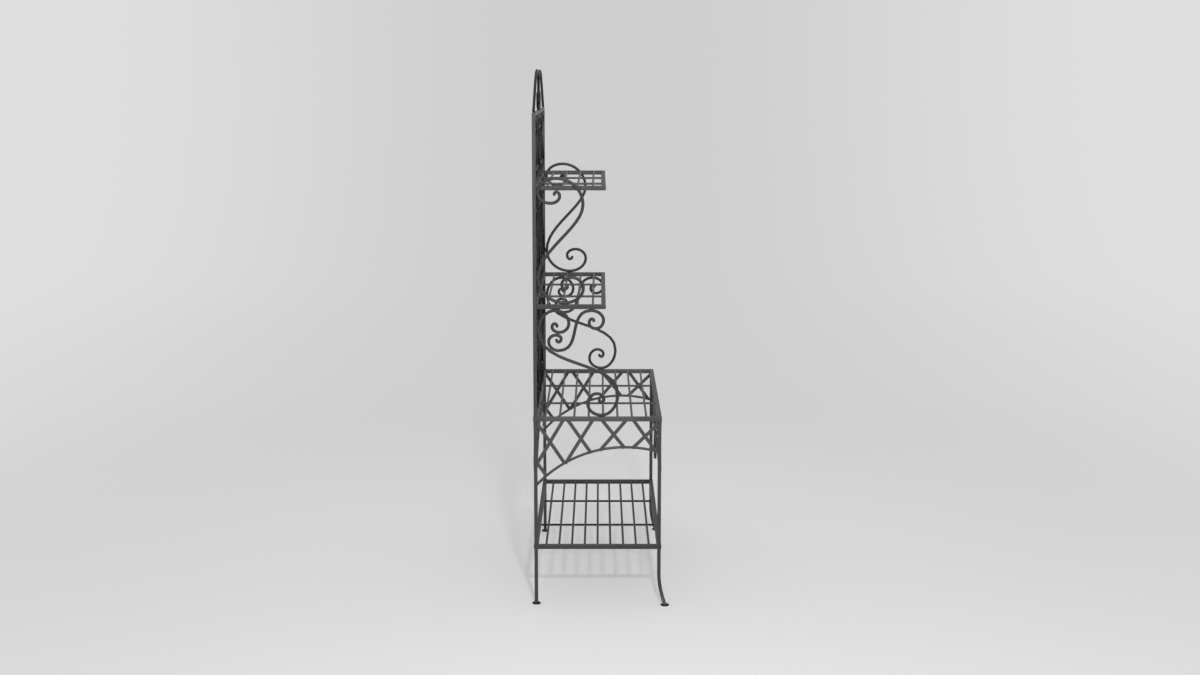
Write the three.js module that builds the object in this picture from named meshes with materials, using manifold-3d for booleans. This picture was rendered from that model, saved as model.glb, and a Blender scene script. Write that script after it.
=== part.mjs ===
// A free-standing bakers rack welded from square steel tube, round rod and flat bar.
// It has two deep shelves, two upper shelves, scrolled ends and a scrolled crown.
// Millimetres, +Z up, the front faces -Y, and the floor is at zero height.
import * as THREE from 'three';
import { mergeVertices } from 'three/addons/utils/BufferGeometryUtils.js';
import Module from 'manifold-3d';

const wasm = await Module();
wasm.setup();

// Frame: outer sizes, and how far each level's top stands above the one under it
const frameWidth = 987;
const deepShelfDepth = 457;
const upperShelfDepth = 257.6;
const lowShelfHeight = 220;
const tableRise = 467;
const middleShelfRise = 402;
const topShelfRise = 415;
const postTopRise = 252;
const crownRise = 150;

// Stock: square tube for rails and posts, round rod, and flat bar
const railSize = 16;
const postSize = 12.7;
const tubeWall = 1.5;
const tubeCorner = 1.6;
const gridRod = 8;
const scrollRod = 11.1;
const backRod = 9.5;
const archRod = 9.5;
const crownRod = 10;
const dropRod = 10;
const barWidth = 12.5;
const barThickness = 3;

// Joints: the gap between welded pieces, and how far rods sink into each other in one piece
const jointGap = 0.3;
const weldSink = 0.4;
const mitreEase = jointGap * Math.SQRT1_2;

// Feet, and the outward sweep of the two front legs
const footWidth = 30;
const footThickness = 4.5;
const footEdge = 1.4;
const splayOutward = 22;
const splayForward = 21.5;
const splayStartHeight = 115;

// Shelf grids: rods along the width, by count and pitch, on two cross rods
const lowRodCount = 9;
const lowRodPitch = 46;
const tableRodCount = 8;
const tableRodPitch = 51.3;
const tableFirstRodFromRear = 35;
const upperRodCount = 4;
const upperRodPitch = 53.2;
const upperFirstRodFromFront = 37.5;
const crossRodShares = [0.314, 0.686];

// Arches under the table: peak below the table top, and radii along and up
const endArchPeakDrop = 110.5;
const endArchRadius = 430;
const endArchPeakForward = 98;
const rearArchPeakDrop = 99;
const rearArchRadius = 849;
const frontArchPeakDrop = 151;
const frontArchPastLeg = 14.5;
const frontArchRise = 71.5;
const longApronBays = 9;
const rearReturnShare = 0.034;
const barOverhang = 3;

// Centre drop under the front arch
const dropHeight = 109;
const dropWidth = 78;
const dropNeck = 17;
const dropWidestShare = 0.36;

// Back panel: scroll bays between the posts
const backBays = 4;

// Places along X and Y that several pieces share
const railHalf = railSize / 2;
const postHalf = postSize / 2;
const frameHalfWidth = frameWidth / 2;
const frameHalfDepth = deepShelfDepth / 2;
const postAcross = frameHalfWidth - railHalf;
const postBack = frameHalfDepth - railHalf;
const postInnerFace = postAcross - postHalf;
const postFrontFace = postBack - postHalf;
const upperFrontFace = frameHalfDepth - upperShelfDepth;

// Heights of each level's top
const tableHeight = lowShelfHeight + tableRise;
const middleShelfHeight = tableHeight + middleShelfRise;
const topShelfHeight = middleShelfHeight + topShelfRise;
const postTopHeight = topShelfHeight + postTopRise;
const crownHeight = postTopHeight + crownRise;
const tableUnderside = tableHeight - railSize;

// Facets: sides of a rod, and steps along a quarter turn, a long stretch and an arch
const endRodSides = 8;
const backRodSides = 6;
const archSteps = 16;
const footSides = 16;
const splaySteps = 6;
const smallTurnLimit = 25;
const risingSteps = 6;
const slideSteps = 500;
const endDetail = { quarter: 4, small: 3, stretch: 9 };
const backDetail = { quarter: 3, small: 2, stretch: 5 };

// A curve's pull towards a quarter of an ellipse, as a share of the quarter's size
const quarterPullShare = 0.5523;

const steel = new THREE.MeshStandardMaterial({ color: 0x3a3d42, roughness: 0.55, metalness: 0.6 });

const rack = new THREE.Group();
rack.position.y = splayForward / 2;

const towards = {
  left: new THREE.Vector3(-1, 0, 0),
  right: new THREE.Vector3(1, 0, 0),
  front: new THREE.Vector3(0, -1, 0),
  back: new THREE.Vector3(0, 1, 0),
  down: new THREE.Vector3(0, 0, -1),
  up: new THREE.Vector3(0, 0, 1),
};

const ends = [
  { name: 'left', sign: -1, outward: towards.left },
  { name: 'right', sign: 1, outward: towards.right },
];

function addPiece(name, geometry) {
  const mesh = new THREE.Mesh(geometry, steel.clone());
  mesh.name = name;
  rack.add(mesh);
  return mesh;
}

// Turns a piece so that its x, y and z axes lie along the given directions
function turn(mesh, x, y, z) {
  mesh.setRotationFromMatrix(new THREE.Matrix4().makeBasis(x, y, z));
}

// Welded unions and trimmed ends
function toSolid(geometry) {
  const bare = geometry.clone();
  bare.deleteAttribute('normal');
  bare.deleteAttribute('uv');
  const merged = mergeVertices(bare);
  return new wasm.Manifold(new wasm.Mesh({
    numProp: 3,
    vertProperties: new Float32Array(merged.attributes.position.array),
    triVerts: new Uint32Array(merged.index.array),
  }));
}

function toGeometry(solid) {
  const mesh = solid.getMesh();
  const geometry = new THREE.BufferGeometry();
  geometry.setAttribute('position', new THREE.BufferAttribute(mesh.vertProperties, 3));
  geometry.setIndex(new THREE.BufferAttribute(mesh.triVerts, 1));
  geometry.computeVertexNormals();
  return geometry;
}

function join(geometries) {
  return geometries.map(toSolid).reduce((all, one) => all.add(one));
}

// Section of square tube with its outer corners eased
function tubeSection(size, wall) {
  const half = size / 2;
  const flat = half - tubeCorner;
  const outline = new THREE.Shape([
    [half, -flat], [half, flat], [flat, half], [-flat, half],
    [-half, flat], [-half, -flat], [-flat, -half], [flat, -half],
  ].map(([x, y]) => new THREE.Vector2(x, y)));
  const bore = half - wall;
  outline.holes.push(new THREE.Path([
    [bore, -bore], [-bore, -bore], [-bore, bore], [bore, bore],
  ].map(([x, y]) => new THREE.Vector2(x, y))));
  return outline;
}

// A straight tube along z, each end square or mitred, where +x is the outside of the mitre
function straightTube(size, length, startMitred, endMitred) {
  const tube = new THREE.ExtrudeGeometry(tubeSection(size, tubeWall), {
    depth: length,
    bevelEnabled: false,
  });
  const places = tube.attributes.position;
  for (let i = 0; i < places.count; i += 1) {
    const inward = size / 2 - places.getX(i);
    if (places.getZ(i) < length / 2) {
      places.setZ(i, startMitred ? inward + mitreEase : jointGap);
    } else {
      places.setZ(i, length - (endMitred ? inward + mitreEase : jointGap));
    }
  }
  return tube;
}

function addTube(name, size, start, along, outward, length, startMitred = false, endMitred = false) {
  const mesh = addPiece(name, straightTube(size, length, startMitred, endMitred));
  turn(mesh, outward, new THREE.Vector3().crossVectors(along, outward), along);
  mesh.position.copy(start);
}

// Bends a shape that is built along z, one unit for each ring, onto the rings
function bendOnto(geometry, rings) {
  const places = geometry.attributes.position;
  const place = new THREE.Vector3();
  for (let i = 0; i < places.count; i += 1) {
    const ring = rings[Math.round(places.getZ(i))];
    place.copy(ring.at)
      .addScaledVector(ring.x, places.getX(i))
      .addScaledVector(ring.y, places.getY(i));
    places.setXYZ(i, place.x, place.y, place.z);
  }
  return geometry;
}

// A turning point of a scroll is [kind, share across, share up].
// It runs up or down at V and level at H. Two more values are the pulls of a long stretch.
function scrollCurves(turns, area, detail) {
  const places = turns.map(([, across, up]) => new THREE.Vector2(
    THREE.MathUtils.lerp(area.from, area.to, across),
    THREE.MathUtils.lerp(area.low, area.high, up),
  ));
  const curves = [];
  for (let i = 1; i < turns.length; i += 1) {
    const start = places[i - 1];
    const end = places[i];
    const [kind, , , startPull = quarterPullShare, endPull = quarterPullShare] = turns[i];
    const reach = end.clone().sub(start);
    const leave = start.clone();
    const arrive = end.clone();
    if (turns[i - 1][0] === 'V') leave.y += reach.y * startPull;
    else leave.x += reach.x * startPull;
    if (kind === 'V') arrive.y -= reach.y * endPull;
    else arrive.x -= reach.x * endPull;
    const curve = new THREE.CubicBezierCurve(start, leave, arrive, end);
    const isStretch = turns[i].length > 3;
    const isSmall = reach.length() < smallTurnLimit;
    curve.steps = isStretch ? detail.stretch : (isSmall ? detail.small : detail.quarter);
    curves.push(curve);
  }
  return curves;
}

function samplePath(curves) {
  const path = [];
  curves.forEach((curve, index) => {
    for (let step = index ? 1 : 0; step <= curve.steps; step += 1) {
      const share = step / curve.steps;
      path.push({ at: curve.getPoint(share), along: curve.getTangent(share) });
    }
  });
  return path;
}

function scrollPath(turns, area, detail) {
  return samplePath(scrollCurves(turns, area, detail));
}

// The end of a forged rod is drawn in over about its own radius
const roundEndShares = [[0.95, 0.35], [0.6, 0.8]];

// A round rod along a flat path, in the x and y plane
function roundRod(path, diameter, sides, roundStart = true, roundEnd = true) {
  const radius = diameter / 2;
  const rings = path.map(({ at, along }) => ({ at, along, scale: 1 }));
  const first = path[0];
  const last = path[path.length - 1];
  if (roundStart) {
    rings.unshift(...roundEndShares.map(([reach, scale]) => (
      { at: first.at.clone().addScaledVector(first.along, -reach * radius), along: first.along, scale }
    )));
  }
  if (roundEnd) {
    rings.push(...roundEndShares.map(([reach, scale]) => (
      { at: last.at.clone().addScaledVector(last.along, reach * radius), along: last.along, scale }
    )).reverse());
  }
  const steps = rings.length - 1;
  const rod = new THREE.CylinderGeometry(1, 1, steps, sides, steps);
  rod.rotateX(Math.PI / 2);
  rod.translate(0, 0, steps / 2);
  return bendOnto(rod, rings.map(({ at, along, scale }) => ({
    at: new THREE.Vector3(at.x, at.y, 0),
    x: new THREE.Vector3(0, 0, -radius * scale),
    y: new THREE.Vector3(-along.y, along.x, 0).multiplyScalar(radius * scale),
  })));
}

// Stands a flat piece in the end plane, where its x is the rack's Y, or in a plane along X
function standInEndPlane(mesh, across) {
  turn(mesh, towards.back, towards.up, towards.right);
  mesh.position.x = across;
}

function standInLongPlane(mesh, back) {
  turn(mesh, towards.right, towards.up, towards.front);
  mesh.position.y = back;
}

// Foot pads: thin round discs with an eased edge
function footPad() {
  const radius = footWidth / 2;
  const profile = [
    [0, 0], [radius - footEdge, 0], [radius, footEdge],
    [radius, footThickness - footEdge], [radius - footEdge, footThickness], [0, footThickness],
  ].map(([x, y]) => new THREE.Vector2(x, y));
  return new THREE.LatheGeometry(profile, footSides).rotateX(Math.PI / 2);
}

// Front legs: straight down, then bent outwards and forwards on one arc to the foot
function splayedLeg(sign) {
  const shift = Math.hypot(splayOutward, splayForward);
  const drop = splayStartHeight - footThickness - jointGap;
  const radius = (drop * drop + shift * shift) / (2 * shift);
  const sweep = Math.asin(drop / radius);
  const outward = new THREE.Vector3(sign * splayOutward, -splayForward, 0).normalize();
  const hinge = new THREE.Vector3().crossVectors(outward, towards.down).normalize();
  const top = new THREE.Vector3(0, 0, lowShelfHeight - railSize - jointGap);
  const rings = [{ at: top, x: towards.right, y: towards.front }];
  for (let step = 0; step <= splaySteps; step += 1) {
    const angle = sweep * step / splaySteps;
    const at = new THREE.Vector3(0, 0, splayStartHeight - radius * Math.sin(angle));
    at.addScaledVector(outward, radius * (1 - Math.cos(angle)));
    rings.push({
      at,
      x: towards.right.clone().applyAxisAngle(hinge, -angle),
      y: towards.front.clone().applyAxisAngle(hinge, -angle),
    });
  }
  const leg = new THREE.ExtrudeGeometry(tubeSection(postSize, tubeWall), {
    depth: rings.length - 1,
    steps: rings.length - 1,
    bevelEnabled: false,
  });
  const isFootEnd = [];
  const places = leg.attributes.position;
  for (let i = 0; i < places.count; i += 1) {
    isFootEnd.push(Math.round(places.getZ(i)) === rings.length - 1);
  }
  bendOnto(leg, rings);
  const tangent = towards.down.clone().applyAxisAngle(hinge, -sweep);
  for (let i = 0; i < places.count; i += 1) {
    if (!isFootEnd[i]) continue;
    const left = (footThickness + jointGap - places.getZ(i)) / tangent.z;
    places.setXYZ(
      i,
      places.getX(i) + tangent.x * left,
      places.getY(i) + tangent.y * left,
      footThickness + jointGap,
    );
  }
  return leg;
}

function addFeetAndLegs() {
  const lowUnderside = lowShelfHeight - railSize;
  for (const { name, sign, outward } of ends) {
    const rearFoot = addPiece(`foot_pad_rear_${name}`, footPad());
    rearFoot.position.set(sign * postAcross, postBack, 0);
    const frontFoot = addPiece(`foot_pad_front_${name}`, footPad());
    frontFoot.position.set(sign * (postAcross + splayOutward), -postBack - splayForward, 0);

    const rearFloor = new THREE.Vector3(sign * postAcross, postBack, footThickness);
    addTube(`lower_leg_rear_${name}`, postSize, rearFloor, towards.up, outward, lowUnderside - footThickness);
    const frontLeg = addPiece(`lower_leg_front_${name}`, splayedLeg(sign));
    frontLeg.position.set(sign * postAcross, -postBack, 0);

    for (const [place, back] of [['rear', postBack], ['front', -postBack]]) {
      const start = new THREE.Vector3(sign * postAcross, back, lowShelfHeight);
      const length = tableUnderside - lowShelfHeight;
      addTube(`middle_leg_${place}_${name}`, postSize, start, towards.up, outward, length);
    }
  }
}

// Rear posts and the top rail, mitred together
function addPostsAndTopRail() {
  for (const { name, sign, outward } of ends) {
    const start = new THREE.Vector3(sign * postAcross, postBack, tableHeight);
    const length = postTopHeight - tableHeight;
    addTube(`rear_post_${name}`, postSize, start, towards.up, outward, length, false, true);
  }
  const length = 2 * (postAcross + postHalf);
  const start = new THREE.Vector3(-length / 2, postBack, postTopHeight - postHalf);
  addTube('top_rail', postSize, start, towards.right, towards.up, length, true, true);
}

// Four rails round a shelf. A deep shelf is mitred all round and lies outside the legs.
// An upper shelf is mitred at the front, its side rails butt on the posts, and its rear rail
// is of post tube and lies between them.
function addShelfFrame(shelf) {
  const level = shelf.height - railHalf;
  const frontLine = shelf.frontFace + railHalf;
  const sideLine = shelf.halfWidth - railHalf;
  const width = 2 * shelf.halfWidth;
  const frontStart = new THREE.Vector3(-shelf.halfWidth, frontLine, level);
  addTube(`${shelf.name}_front_rail`, railSize, frontStart, towards.right, towards.front, width, true, true);

  const rearWidth = 2 * shelf.rearHalfWidth;
  const rearLevel = shelf.height - shelf.rearSize / 2;
  const rearStart = new THREE.Vector3(-shelf.rearHalfWidth, shelf.rearLine, rearLevel);
  const butted = !shelf.mitredRear;
  addTube(
    `${shelf.name}_rear_rail`, shelf.rearSize, rearStart, towards.right, towards.back, rearWidth, !butted, !butted,
  );
  for (const { name, sign, outward } of ends) {
    const start = new THREE.Vector3(sign * sideLine, shelf.frontFace, level);
    const length = shelf.sideEnd - shelf.frontFace;
    addTube(
      `${shelf.name}_end_rail_${name}`, railSize, start, towards.back, outward, length, true, !butted,
    );
  }
}

// A straight rod along y with six flats, as wide across its flats as the round rod is thick
function hexRod(diameter, length) {
  const radius = diameter / 2 / Math.cos(Math.PI / 6);
  return new THREE.CylinderGeometry(radius, radius, length, 6);
}

// A shelf grid: rods along the width over two cross rods, welded where they cross
function addShelfGrid(shelf) {
  const inside = shelf.halfWidth - railSize - jointGap;
  const front = shelf.frontFace + railSize + jointGap;
  const back = shelf.rearLine - shelf.rearSize / 2 - jointGap;
  const rods = shelf.rodLines.map((line) => (
    hexRod(gridRod, 2 * inside).rotateX(Math.PI / 2).rotateY(Math.PI / 2).rotateX(Math.PI / 2)
      .translate(0, line, shelf.height - gridRod / 2)
  ));
  const crossLevel = shelf.height - gridRod * 1.5 + weldSink;
  for (const share of crossRodShares) {
    const across = THREE.MathUtils.lerp(-inside, inside, share);
    rods.push(hexRod(gridRod, back - front).rotateY(Math.PI / 6).translate(across, (front + back) / 2, crossLevel));
  }
  addPiece(`${shelf.name}_grid`, toGeometry(join(rods)));
}

function rodLines(count, pitch, first, step) {
  return Array.from({ length: count }, (_, i) => first + step * pitch * i);
}

function addShelves() {
  const deep = {
    frontFace: -frameHalfDepth,
    halfWidth: frameHalfWidth,
    rearHalfWidth: frameHalfWidth,
    rearSize: railSize,
    rearLine: postBack,
    sideEnd: frameHalfDepth,
    mitredRear: true,
  };
  const upperLines = rodLines(upperRodCount, upperRodPitch, upperFrontFace + railHalf + upperFirstRodFromFront, 1);
  const upper = {
    frontFace: upperFrontFace,
    rearHalfWidth: postInnerFace,
    rearSize: postSize,
    rearLine: postBack,
    sideEnd: postFrontFace,
    mitredRear: false,
    rodLines: upperLines,
  };
  const lowLines = rodLines(lowRodCount, lowRodPitch, -lowRodPitch * (lowRodCount - 1) / 2, 1);
  const tableLines = rodLines(tableRodCount, tableRodPitch, postBack - tableFirstRodFromRear, -1);
  const shelves = [
    { name: 'low_shelf', height: lowShelfHeight, rodLines: lowLines, ...deep },
    { name: 'table', height: tableHeight, rodLines: tableLines, ...deep },
    {
      name: 'middle_shelf',
      height: middleShelfHeight,
      halfWidth: frameHalfWidth,
      ...upper,
    },
    {
      name: 'top_shelf',
      height: topShelfHeight,
      halfWidth: frameHalfWidth - scrollRod - jointGap,
      ...upper,
    },
  ];
  for (const shelf of shelves) {
    addShelfFrame(shelf);
    addShelfGrid(shelf);
  }
}

// Upper end scrolls: one S from the middle shelf to past the top shelf.
// Across is a share from the post forwards, and up is a share of the scroll's height.
const upperScrollShares = [
  ['V', 0.365, 0.872], ['H', 0.415, 0.891], ['V', 0.484, 0.857], ['H', 0.285, 0.801],
  ['V', 0, 0.889], ['H', 0.411, 1], ['V', 0.994, 0.789],
  ['V', 0, 0.198, 0.315, 0.388], ['H', 0.588, 0], ['V', 1, 0.12],
  ['H', 0.739, 0.205], ['V', 0.523, 0.15], ['H', 0.588, 0.112], ['V', 0.65, 0.131],
];
const upperScrollRise = 26.5;
const upperScrollForward = 158.8;

// Lower end scrolls: a large S, and a small S lying in its hollow
const largeScrollShares = [
  ['V', 0.234, 0.851], ['H', 0.206, 0.875], ['V', 0.173, 0.844], ['H', 0.266, 0.793],
  ['V', 0.383, 0.879], ['H', 0.213, 1], ['V', 0, 0.811],
  ['V', 1, 0.203, 0.6, 0.543], ['H', 0.793, 0], ['V', 0.62, 0.107],
  ['H', 0.736, 0.207], ['V', 0.824, 0.155], ['H', 0.793, 0.126], ['V', 0.766, 0.145],
];
const largeScrollForward = 280.3;
const smallScrollShares = [
  ['V', 0.145, 0.264], ['H', 0.182, 0.214], ['V', 0.228, 0.298], ['H', 0.127, 0.387],
  ['V', 0, 0.222], ['H', 0.179, 0],
  ['H', 0.775, 1, 0.745, 0.745], ['V', 1, 0.755], ['H', 0.858, 0.552],
  ['V', 0.738, 0.691], ['H', 0.788, 0.792], ['V', 0.822, 0.747],
];
const smallScrollForwardShare = 0.819;
const smallScrollHeightShare = 0.381;

// The least distance between two flat paths, from each point of one to each step of the other
function distanceToStep(point, start, end) {
  const step = end.clone().sub(start);
  const share = point.clone().sub(start).dot(step) / step.lengthSq();
  return point.distanceTo(start.clone().addScaledVector(step, THREE.MathUtils.clamp(share, 0, 1)));
}

function leastDistance(path, other) {
  const oneWay = (points, steps) => Math.min(...points.flatMap(({ at }) => (
    steps.slice(1).map((end, i) => distanceToStep(at, steps[i].at, end.at))
  )));
  return Math.min(oneWay(path, other), oneWay(other, path));
}

// Slides the small scroll's rear curl forwards from the post until it just clears the large scroll
function smallScrollPath(largeArea, largePath) {
  const apart = scrollRod + jointGap;
  const { from: rear, high } = largeArea;
  const to = THREE.MathUtils.lerp(rear, largeArea.to, smallScrollForwardShare);
  const low = THREE.MathUtils.lerp(high, largeArea.low, smallScrollHeightShare);
  for (let slide = 0; slide < slideSteps; slide += 1) {
    const from = THREE.MathUtils.lerp(rear, to, slide / slideSteps);
    const path = scrollPath(smallScrollShares, { from, to, low, high }, endDetail);
    if (leastDistance(path, largePath) >= apart) return path;
  }
  throw new Error('the small scroll finds no room beside the large one');
}

function addEndScrolls() {
  const stand = scrollRod / 2 + jointGap;
  const rear = postFrontFace - stand;
  const upperPath = scrollPath(upperScrollShares, {
    from: rear,
    to: rear - upperScrollForward,
    low: middleShelfHeight + stand,
    high: topShelfHeight + upperScrollRise,
  }, endDetail);
  const largeArea = {
    from: rear,
    to: rear - largeScrollForward,
    low: tableHeight + stand,
    high: middleShelfHeight - railSize - stand,
  };
  const largePath = scrollPath(largeScrollShares, largeArea, endDetail);
  const smallPath = smallScrollPath(largeArea, largePath);
  for (const { name, sign } of ends) {
    const upper = addPiece(`upper_end_scroll_${name}`, roundRod(upperPath, scrollRod, endRodSides));
    standInEndPlane(upper, sign * (frameHalfWidth - scrollRod / 2));
    const large = addPiece(`large_end_scroll_${name}`, roundRod(largePath, scrollRod, endRodSides));
    standInEndPlane(large, sign * postAcross);
    const small = addPiece(`small_end_scroll_${name}`, roundRod(smallPath, scrollRod, endRodSides));
    standInEndPlane(small, sign * postAcross);
  }
}

// Crown: two mirrored rods rise from the posts, meet at the middle and curl back on the top rail.
// Across is a share from the middle outwards, and up is a share of the crown's height.
const crownRiseShares = [[1, 0], [0.708, 0.542], [0.522, 1], [0.313, 1]];
const crownCurlShares = [
  ['H', 0.313, 1], ['V', 0, 0.792], ['V', 0, 0.449, 0.33, 0.33], ['H', 0.108, 0],
  ['V', 0.194, 0.234], ['H', 0.127, 0.427], ['V', 0.0853, 0.298], ['H', 0.113, 0.2], ['V', 0.14, 0.27],
];
const crownEndInset = 7.9;

function addCrown() {
  for (const { name, sign } of ends) {
    const area = {
      from: sign * (crownRod + jointGap) / 2,
      to: sign * (postAcross + postHalf - crownEndInset),
      low: postTopHeight + crownRod / 2 + jointGap,
      high: crownHeight - crownRod / 2,
    };
    const rise = new THREE.CubicBezierCurve(...crownRiseShares.map(([across, up]) => new THREE.Vector2(
      THREE.MathUtils.lerp(area.from, area.to, across),
      THREE.MathUtils.lerp(area.low, area.high, up),
    )));
    rise.steps = risingSteps;
    const path = samplePath([rise, ...scrollCurves(crownCurlShares, area, endDetail)]);
    standInLongPlane(addPiece(`crown_scroll_${name}`, roundRod(path, crownRod, endRodSides)), postBack);
  }
}

// Back panel: a row of S scrolls between each pair of levels, each turned against its
// neighbour. All but the last are welded to an upright spindle that ends their bay.
function addBackPanel() {
  const stand = backRod / 2 + jointGap;
  const rows = [
    { name: 'low', turns: largeScrollShares, from: tableHeight, to: middleShelfHeight - postSize },
    { name: 'middle', turns: upperScrollShares, from: middleShelfHeight, to: topShelfHeight - postSize },
    { name: 'top', turns: upperScrollShares, from: topShelfHeight, to: postTopHeight - postSize },
  ];
  const bay = (2 * postInnerFace + backRod) / backBays;
  for (const row of rows) {
    for (let i = 0; i < backBays; i += 1) {
      const left = -postInnerFace + bay * i + stand;
      const bayEnd = left - stand + bay - backRod;
      const hasSpindle = i < backBays - 1;
      const right = bayEnd - (hasSpindle ? backRod / 2 - weldSink : stand);
      const area = { low: row.from + stand, high: row.to - stand };
      const turned = i % 2 ? { from: right, to: left } : { from: left, to: right };
      const path = scrollPath(row.turns, { ...area, ...turned }, backDetail);
      let shape = roundRod(path, backRod, backRodSides);
      if (hasSpindle) {
        const spindle = hexRod(backRod, row.to - row.from - 2 * jointGap);
        shape = toGeometry(join([shape, spindle.translate(bayEnd + backRod / 2, (row.from + row.to) / 2, 0)]));
      }
      standInLongPlane(addPiece(`back_scroll_${row.name}_${i + 1}`, shape), postBack);
    }
  }
}

// An arch is part of an ellipse whose peak hangs below the table top
function makeArch(peakDrop, forward, radiusAcross, radiusUp, reach) {
  const middle = tableHeight - peakDrop - radiusUp;
  const height = (across) => middle + radiusUp * Math.sqrt(1 - ((across + forward) / radiusAcross) ** 2);
  const into = reach + postHalf;
  const first = Math.acos((into + forward) / radiusAcross);
  const last = Math.acos((-into + forward) / radiusAcross);
  const path = [];
  for (let step = 0; step <= archSteps; step += 1) {
    const angle = THREE.MathUtils.lerp(first, last, step / archSteps);
    path.push({
      at: new THREE.Vector2(radiusAcross * Math.cos(angle) - forward, middle + radiusUp * Math.sin(angle)),
      along: new THREE.Vector2(-radiusAcross * Math.sin(angle), radiusUp * Math.cos(angle)).normalize(),
    });
  }
  return { height, path, reach };
}

// A flat bar of the lattice, laid on the outer side of the arch
function latticeBar(start, end, outward) {
  const along = end.clone().sub(start);
  const length = along.length() + barOverhang;
  along.normalize();
  const middle = start.clone().addScaledVector(along, length / 2);
  return new THREE.BoxGeometry(length, barWidth, barThickness)
    .rotateZ(Math.atan2(along.y, along.x))
    .translate(middle.x, middle.y, outward * (archRod / 2 - weldSink + barThickness / 2));
}

// An arch and the lattice between it and the table's rail, trimmed to the legs and the rail
function apronPanel(arch, bars, legNodes, outward) {
  const place = (share) => THREE.MathUtils.lerp(arch.reach, -arch.reach, share);
  const hidden = tableHeight - railHalf;
  const onRail = (share) => new THREE.Vector2(place(share), hidden);
  const onArch = (share) => new THREE.Vector2(place(share), arch.height(place(share)));
  const pieces = [roundRod(arch.path, archRod, endRodSides, false, false)];
  for (const [top, foot] of bars) pieces.push(latticeBar(onRail(top), onArch(foot), outward));
  for (const { leg, top, foot } of legNodes) {
    const node = onArch(leg);
    node.y = THREE.MathUtils.lerp(node.y, hidden, legNodeShare);
    pieces.push(latticeBar(onRail(top), node, outward));
    pieces.push(latticeBar(node, onArch(foot), outward));
  }
  const wide = new THREE.BoxGeometry(2 * frameWidth, frameWidth, frameWidth);
  const tall = new THREE.BoxGeometry(frameWidth, 2 * tableHeight, frameWidth);
  const edge = arch.reach - jointGap + frameWidth / 2;
  return toGeometry(join(pieces)
    .subtract(toSolid(wide.translate(0, tableUnderside - jointGap + frameWidth / 2, 0)))
    .subtract(toSolid(tall.clone().translate(edge, tableHeight, 0)))
    .subtract(toSolid(tall.clone().translate(-edge, tableHeight, 0))));
}

// Lattice bars as [share at the rail, share at the arch], from one leg to the other
const endBarShares = [
  [-0.022, 0.227], [0.249, 0.443], [0.464, 0.236], [0.531, 0.722], [0.744, 0.523], [0.792, 0.985], [1.042, 0.794],
];
const endLegNodes = [{ leg: 0, top: 0.22, foot: 0.0758 }];
const legNodeShare = 0.325;
const bayCrossShares = [0, 0.9, 1, 0.1];

function longBars(leaveOut) {
  const bars = [];
  for (let bay = 0; bay < longApronBays; bay += 1) {
    const [a, b, c, d] = bayCrossShares.map((share) => (bay + share) / longApronBays);
    bars.push([a, b], [c, d]);
  }
  return bars.filter((_, i) => !leaveOut.includes(i));
}

function addAprons() {
  const outFace = archRod / 2 - weldSink + barThickness;
  const depthReach = postFrontFace;
  const endArch = makeArch(endArchPeakDrop, endArchPeakForward, endArchRadius, endArchRadius, depthReach);
  for (const { name, sign } of ends) {
    const panel = apronPanel(endArch, endBarShares, endLegNodes, sign);
    standInEndPlane(addPiece(`end_arch_and_lattice_${name}`, panel), sign * (frameHalfWidth - outFace));
  }

  const frontArch = makeArch(frontArchPeakDrop, 0, postAcross + frontArchPastLeg, frontArchRise, postInnerFace);
  const frontPanel = addPiece('front_arch_and_lattice', apronPanel(frontArch, longBars([]), [], 1));
  standInLongPlane(frontPanel, outFace - frameHalfDepth);

  const rearArch = makeArch(rearArchPeakDrop, 0, rearArchRadius, rearArchRadius, postInnerFace);
  const lastBar = 2 * longApronBays - 1;
  const near = 1 / longApronBays;
  const rearNodes = [
    { leg: 0, top: near, foot: rearReturnShare },
    { leg: 1, top: 1 - near, foot: 1 - rearReturnShare },
  ];
  const rearBars = longBars([1, lastBar - 1]);
  const rearPanel = addPiece('rear_arch_and_lattice', apronPanel(rearArch, rearBars, rearNodes, -1));
  standInLongPlane(rearPanel, frameHalfDepth - outFace);

  addDrop(tableHeight - frontArchPeakDrop - archRod / 2 - jointGap, outFace - frameHalfDepth);
}

// A centre drop of one bent rod, hung from the underside of the front arch
function addDrop(top, back) {
  const side = (dropWidth - dropRod) / 2;
  const area = { from: -side, to: side, low: top - dropHeight + dropRod / 2, high: top };
  const neck = dropNeck / (2 * side) / 2;
  const turns = [
    ['V', 1 / 2 - neck, 1], ['V', 0, dropWidestShare, 0.45, 0.45], ['H', 1 / 2, 0],
    ['V', 1, dropWidestShare], ['V', 1 / 2 + neck, 1, 0.45, 0.45],
  ];
  const rod = roundRod(scrollPath(turns, area, endDetail), dropRod, endRodSides, false, false);
  standInLongPlane(addPiece('front_centre_drop', rod), back);
}

addFeetAndLegs();
addPostsAndTopRail();
addShelves();
addEndScrolls();
addCrown();
addBackPanel();
addAprons();

export default rack;
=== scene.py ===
# A bakers rack of painted steel: square tube, round rod and flat bar, welded together.
# Metres, +Z up, and the front faces -Y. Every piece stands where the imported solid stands.
import math

import bmesh
import bpy
from mathutils import Matrix, Vector


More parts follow.
